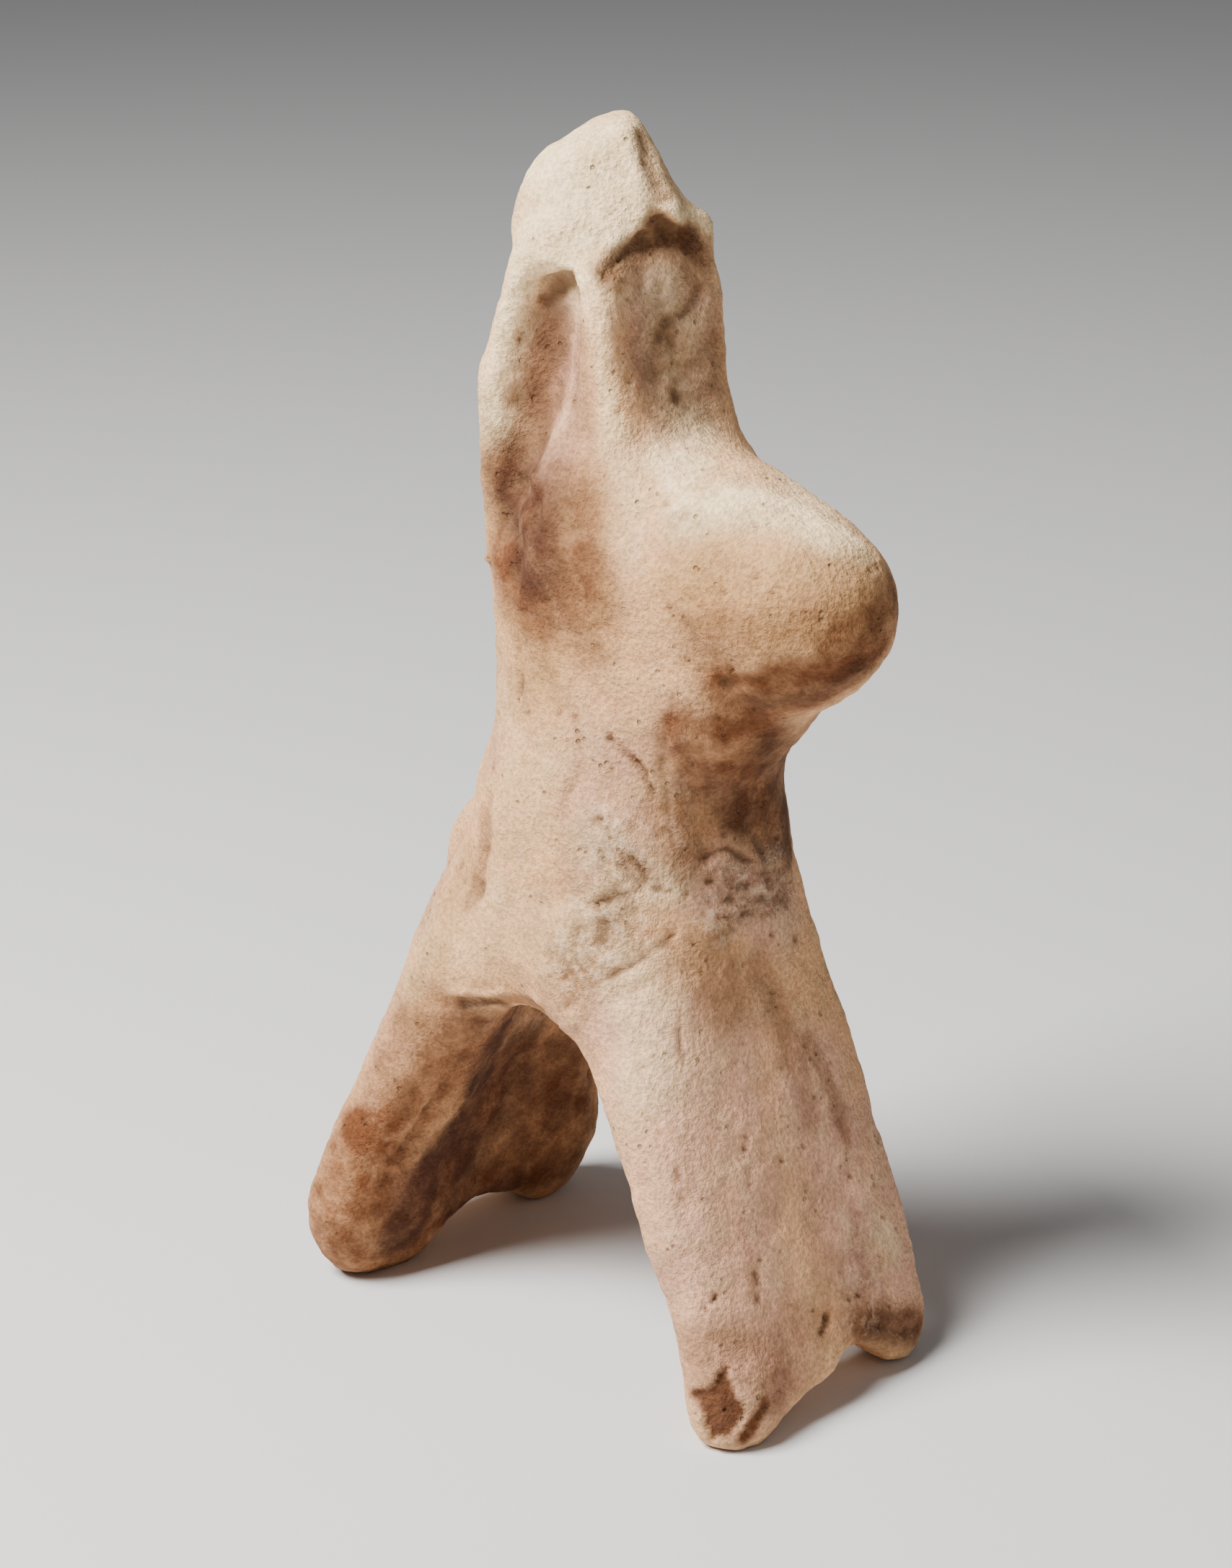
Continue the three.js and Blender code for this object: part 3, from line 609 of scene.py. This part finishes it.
def storeFinish(piece):
    points, normals = readVectors(piece, "co"), readVectors(piece, "normal")
    firstShift, nextShift = paintSet["noiseShift"]
    for count, name in enumerate(paintStrokes):
        mask = paintMask(points, paintStrokes[name], firstShift + nextShift * count)
        # painted top light: faces that look up on the upper body get more of the slip colour
        if name == "slipAndHighlight":
            facingUp = np.clip(normals[:, 2] - paintSet["upFacingHighlightTilt"], 0, 1)
            mask += paintSet["upFacingHighlight"] * facingUp * (points[:, 2] > paintSet["upFacingHighlightAbove"])
        storeMask(piece, name, mask)
    # the hollow mask drives painted shade in the material
    hollow = hollowness(piece, points, normals, *paintSet["hollowRounds"])
    storeMask(piece, "hollow", hollow * paintSet["hollowGain"])
    storeMask(piece, "ridge", -hollow * paintSet["hollowGain"])
    crack = hollowness(piece, points, normals, *paintSet["crackRounds"])
    storeMask(piece, "crack", crack * paintSet["crackGain"] - paintSet["crackFloor"])
    storeMask(piece, "chip", chipMask * paintSet["chipGain"])
    storeMask(piece, "eroded", flakedMask(points))


storeFinish(figure)
print("finish masks stored")

claySet = {
    "buff": (0.74, 0.39, 0.182, 1),
    "pinkClay": (0.67, 0.36, 0.24, 1),
    # cream of the slip and of painted highlights
    "slipAndHighlight": (0.98, 0.73, 0.42, 1),
    # brown of the stains and of painted shade
    "stainAndShade": (0.19, 0.066, 0.022, 1),
    # near-black brown of painted shade and of the darkest stains
    "umberShadeAndStain": (0.055, 0.018, 0.008, 1),
    "ochre": (0.46, 0.25, 0.095, 1),
    # dark brown of dirt in cracks and gaps, and of painted shade in hollows
    "dirtAndShade": (0.17, 0.085, 0.04, 1),
    "flake": (0.88, 0.62, 0.42, 1),
    "brokenClay": (0.13, 0.05, 0.02, 1),
    # noises: scale, detail and roughness
    "cloud": (75, 5, 0.6),
    "blotch": (260, 4, 0.6),
    "grain": (1900, 3, 0.6),
    "flaked": (420, 6, 0.72),
    "speckScale": 620,
    # how a noise is spread: from, to, and the shares at both ends
    "pinkClouds": (0.5, 0.7, 0, 0.6),
    "slipBlotches": (0.4, 0.68, 0, 0.3),
    "slipAndHighlightWear": (0.25, 0.5, 0.7, 1),
    "faintStain": (0.48, 0.7, 0, 0.28),
    "stainAndShadeWear": (0.3, 0.62, 0.75, 1.05),
    "umberShadeAndStainWear": (0.3, 0.62, 0.8, 1),
    "hollowShadeWear": (0.3, 0.6, 0.6, 1),
    "erodedGaps": (0.5, 0.42, 0, 0.5),
    "erodedFlakes": (0.5, 0.58, 0, 0.7),
    "speckSize": (0.22, 0.1),
    "speckPlaces": (0.5, 0.62),
    "grainSpread": (0.32, 0.68),
    "grainTints": ((0.76, 0.74, 0.72, 1), (1.1, 1.1, 1.1, 1)),
    "mottleSpread": (0.36, 0.62),
    "mottleTints": ((1.1, 1.1, 1.1, 1), (0.9, 0.87, 0.84, 1)),
    "ochreShare": 0.8,
    "ridgeSlip": 0.15,
    "hollowShadeShare": 0.6,
    "crackShare": 0.55,
    "speckShare": 0.45,
    "roughness": (0.3, 0.7, 0.82, 0.96),
    "specular": 0.25,
    "speckDepth": 0.8,
    "flakeDepth": 6.5,
    "flakeEverywhere": 0.1,
    "bumpStrength": 0.9,
    "bump": 0.4 * mm,
}


class NodeBench:
    # lays out the nodes of one material from left to right
    def __init__(self, name):
        self.material = bpy.data.materials.new(name)
        self.material.use_nodes = True
        self.tree = self.material.node_tree
        self.shader = self.tree.nodes["Principled BSDF"]
        self.column = 0

    def add(self, kind, **settings):
        node = self.tree.nodes.new(kind)
        node.location = (-2600 + 190 * self.column, 300 - 160 * (self.column % 4))
        self.column += 1
        for key, value in settings.items():
            setattr(node, key, value)
        return node

    def link(self, output, socket):
        self.tree.links.new(output, socket)

    def value(self, operation, a, b, clamp=False):
        node = self.add("ShaderNodeMath", operation=operation, use_clamp=clamp)
        for socket, item in zip(node.inputs, (a, b)):
            if isinstance(item, (int, float)):
                socket.default_value = item
            else:
                self.link(item, socket)
        return node.outputs[0]

    def mix(self, factor, a, b, blend="MIX"):
        node = self.add("ShaderNodeMix", data_type="RGBA", blend_type=blend)
        for socket, item in ((node.inputs[0], factor), (node.inputs[6], a), (node.inputs[7], b)):
            if isinstance(item, (int, float, tuple)):
                socket.default_value = item
            else:
                self.link(item, socket)
        return node.outputs[2]

    def noise(self, coords, scale, detail, rough):
        node = self.add("ShaderNodeTexNoise")
        node.inputs["Scale"].default_value = scale
        node.inputs["Detail"].default_value = detail
        node.inputs["Roughness"].default_value = rough
        self.link(coords, node.inputs["Vector"])
        return node.outputs[0]

    def spread(self, source, low, high, toLow=0.0, toHigh=1.0):
        node = self.add("ShaderNodeMapRange", clamp=True, interpolation_type="SMOOTHSTEP")
        for socket, item in zip(node.inputs[1:5], (low, high, toLow, toHigh)):
            socket.default_value = item
        self.link(source, node.inputs[0])
        return node.outputs[0]

    def mask(self, name):
        node = self.add("ShaderNodeAttribute", attribute_type="GEOMETRY", attribute_name=name)
        return node.outputs["Fac"]

    def worn(self, name, source, wear):
        # a painted mask, worn away where the noise is low
        return self.value("MULTIPLY", self.mask(name), self.spread(source, *claySet[wear]))


def clayColour(bench, cloud, blotch, grain, flaked, eroded, speck):
    pinkness = bench.value("ADD", bench.mask("pink"),
                           bench.spread(cloud, *claySet["pinkClouds"]), True)
    colour = bench.mix(pinkness, claySet["buff"], claySet["pinkClay"])
    colour = bench.mix(bench.spread(blotch, *claySet["slipBlotches"]), colour, claySet["slipAndHighlight"])
    # slip mask: cream slip and painted highlights; ridges get a little of it too
    slipAndHighlight = bench.worn("slipAndHighlight", blotch, "slipAndHighlightWear")
    ridge = bench.value("MULTIPLY", bench.mask("ridge"), claySet["ridgeSlip"])
    colour = bench.mix(bench.value("ADD", slipAndHighlight, ridge, True), colour, claySet["slipAndHighlight"])
    ochre = bench.value("MULTIPLY", bench.mask("ochre"), claySet["ochreShare"])
    colour = bench.mix(ochre, colour, claySet["ochre"])
    # stain mask: stains, and painted shade under overhangs and inside the legs
    stainAndShade = bench.value("ADD", bench.worn("stainAndShade", blotch, "stainAndShadeWear"),
                        bench.spread(cloud, *claySet["faintStain"]), True)
    colour = bench.mix(stainAndShade, colour, claySet["stainAndShade"])
    # umber mask: painted shade, and the darkest stains
    colour = bench.mix(bench.worn("umberShadeAndStain", blotch, "umberShadeAndStainWear"), colour, claySet["umberShadeAndStain"])
    # painted shade: darker the deeper a point lies in a hollow
    dirtAndShade = bench.value("MULTIPLY", bench.worn("hollow", grain, "hollowShadeWear"), claySet["hollowShadeShare"])
    colour = bench.mix(dirtAndShade, colour, claySet["dirtAndShade"])
    gaps = bench.value("MULTIPLY", eroded, bench.spread(flaked, *claySet["erodedGaps"]))
    colour = bench.mix(gaps, colour, claySet["dirtAndShade"])
    flakes = bench.value("MULTIPLY", eroded, bench.spread(flaked, *claySet["erodedFlakes"]))
    colour = bench.mix(flakes, colour, claySet["flake"])
    crack = bench.value("MULTIPLY", bench.mask("crack"), claySet["crackShare"])
    colour = bench.mix(crack, colour, claySet["dirtAndShade"])
    colour = bench.mix(bench.mask("chip"), colour, claySet["brokenClay"])
    specks = bench.value("MULTIPLY", speck, claySet["speckShare"])
    colour = bench.mix(specks, colour, claySet["dirtAndShade"])
    grainTint = bench.mix(bench.spread(grain, *claySet["grainSpread"]), *claySet["grainTints"])
    colour = bench.mix(1.0, colour, grainTint, "MULTIPLY")
    mottle = bench.mix(bench.spread(blotch, *claySet["mottleSpread"]), *claySet["mottleTints"])
    return bench.mix(1.0, colour, mottle, "MULTIPLY")


def firedClay():
    bench = NodeBench("firedClay")
    coords = bench.add("ShaderNodeTexCoord").outputs["Object"]
    cloud, blotch, grain, flaked = (
        bench.noise(coords, *claySet[key]) for key in ("cloud", "blotch", "grain", "flaked")
    )
    cells = bench.add("ShaderNodeTexVoronoi", feature="F1")
    cells.inputs["Scale"].default_value = claySet["speckScale"]
    bench.link(coords, cells.inputs["Vector"])
    speck = bench.value("MULTIPLY", bench.spread(cells.outputs["Distance"], *claySet["speckSize"]),
                        bench.spread(blotch, *claySet["speckPlaces"]))
    eroded = bench.mask("eroded")

    colour = clayColour(bench, cloud, blotch, grain, flaked, eroded, speck)
    bench.link(colour, bench.shader.inputs["Base Color"])
    rough = bench.spread(blotch, *claySet["roughness"])
    bench.link(rough, bench.shader.inputs["Roughness"])
    bench.shader.inputs["Specular IOR Level"].default_value = claySet["specular"]

    height = bench.value("SUBTRACT", bench.value("ADD", grain, blotch),
                         bench.value("MULTIPLY", speck, claySet["speckDepth"]))
    flakes = bench.value("MULTIPLY", bench.value("ADD", eroded, claySet["flakeEverywhere"]),
                         bench.value("MULTIPLY", flaked, claySet["flakeDepth"]))
    bump = bench.add("ShaderNodeBump")
    bump.inputs["Strength"].default_value = claySet["bumpStrength"]
    bump.inputs["Distance"].default_value = claySet["bump"]
    bench.link(bench.value("ADD", height, flakes), bump.inputs["Height"])
    bench.link(bump.outputs[0], bench.shader.inputs["Normal"])
    return bench.material


figure.data.materials.append(firedClay())
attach(figure, "root")
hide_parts("horse_and_rider")
print("figure finished")

# Floor and lights

stageSet = {
    "floorSize": 12.0,
    "floorColour": (0.7, 0.685, 0.665, 1),
    "floorRoughness": 0.95,
    "keyPower": 14,
    "keySize": 0.3,
    "keyPlace": (-0.36, 0.44, 0.34),  # m to the right, up and towards the camera
    "fillPower": 0.4,
    "fillSize": 0.6,
    "fillPlace": (0.5, 0.15, 0.4),
    "worldStrength": 0.14,
    "worldColour": (0.9, 0.93, 1, 1),
}


def addFloor():
    bpy.ops.mesh.primitive_plane_add(size=stageSet["floorSize"])
    floor = bpy.context.object
    floor.name = "floor"
    material = bpy.data.materials.new("paleFloor")
    material.use_nodes = True
    shader = material.node_tree.nodes["Principled BSDF"]
    shader.inputs["Base Color"].default_value = stageSet["floorColour"]
    shader.inputs["Roughness"].default_value = stageSet["floorRoughness"]
    floor.data.materials.append(material)


def addLight(name, fromAim, power, size):
    right, up, back = cameraAxes()
    sideways, upwards, towards = fromAim
    aim = Vector(cameraSet["lookAt"])
    place = aim + right * sideways + up * upwards + back * towards
    bpy.ops.object.light_add(type="AREA", location=place)
    light = bpy.context.object
    light.name = name
    light.data.energy = power
    light.data.size = size
    light.rotation_euler = (place - aim).to_track_quat("Z", "Y").to_euler()


addFloor()
addLight("keyLight", stageSet["keyPlace"], stageSet["keyPower"], stageSet["keySize"])
addLight("fillLight", stageSet["fillPlace"], stageSet["fillPower"], stageSet["fillSize"])
world = bpy.data.worlds.new("studio")
world.use_nodes = True
sky = world.node_tree.nodes["Background"]
sky.inputs["Strength"].default_value = stageSet["worldStrength"]
sky.inputs["Color"].default_value = stageSet["worldColour"]
bpy.context.scene.world = world
print("floor and lights set")
